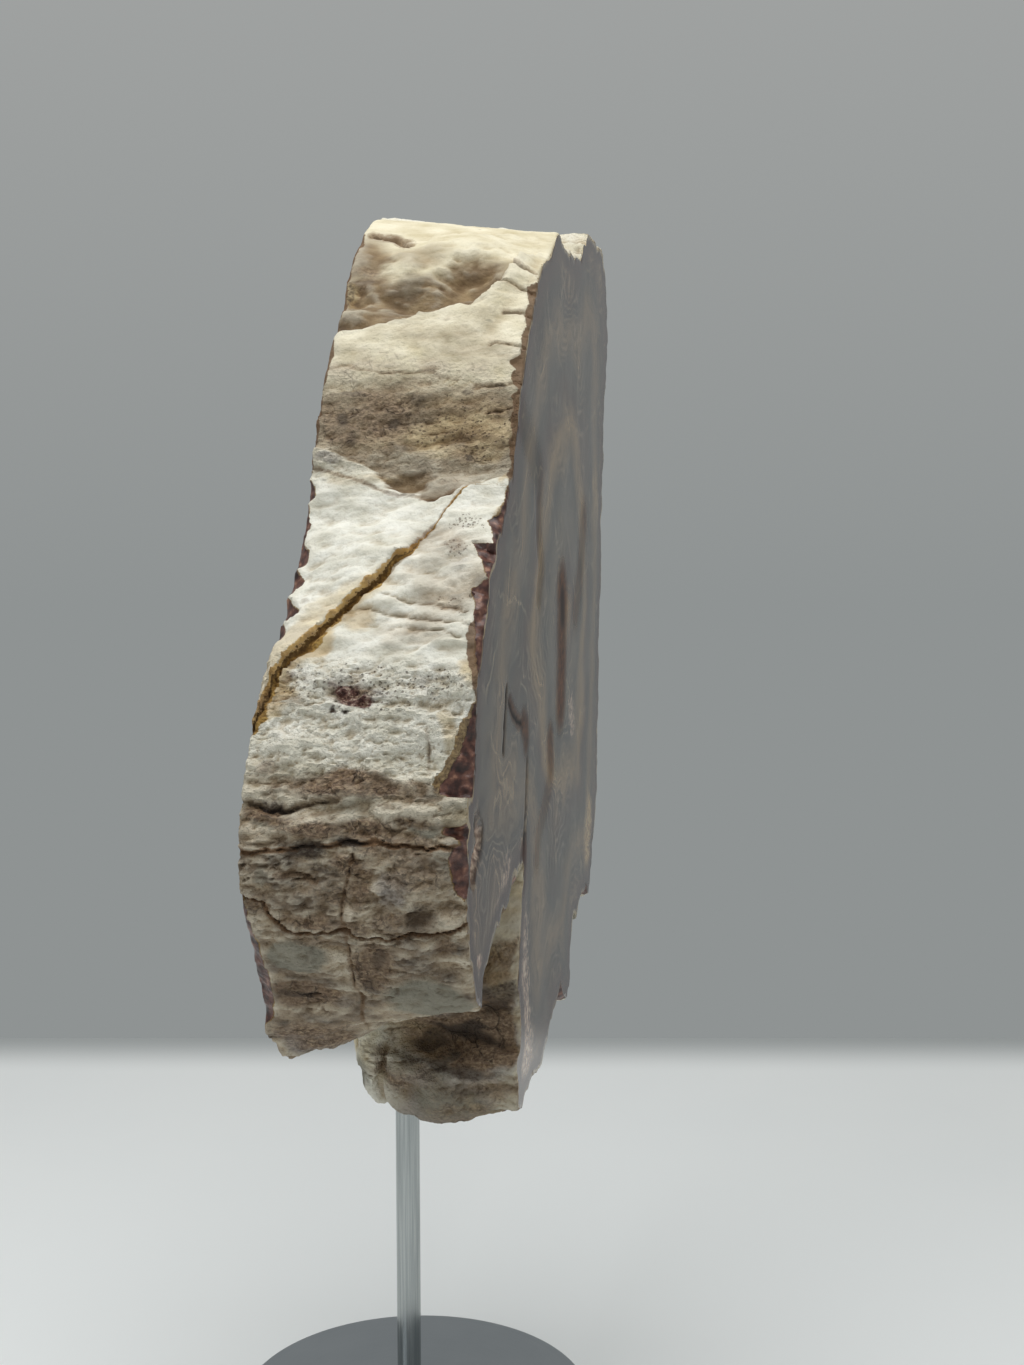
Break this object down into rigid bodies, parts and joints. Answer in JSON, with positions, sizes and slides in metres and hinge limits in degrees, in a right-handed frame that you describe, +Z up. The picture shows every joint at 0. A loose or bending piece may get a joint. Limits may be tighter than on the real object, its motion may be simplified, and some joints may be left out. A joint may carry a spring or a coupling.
{
  "type": "petrified wood slice on a stand",
  "caption": "Polished slice of petrified wood with a rough cream rim, held upright by a thin metal rod on a round metal base.",
  "frame": {"origin": "centre of the round base's underside, on the surface that the object stands on", "axes": "+Z up along the rod; +X from the slice's rounded near side to its straighter far side; the polished face looks towards -Y and the sawn back towards +Y"},
  "size_m": [0.1097, 0.047, 0.1695],
  "materials": {
    "petrified_wood": "rough cream crust with brown stains round the rim; polished grey, brown and red-brown agate on the sawn face",
    "rod_metal": "bright drawn metal",
    "base_metal": "dark satin metal, finely turned"
  },
  "bodies": {
    "root": {"slice": "petrified_wood", "rod": "rod_metal", "base": "base_metal"}
  },
  "joints": []
}
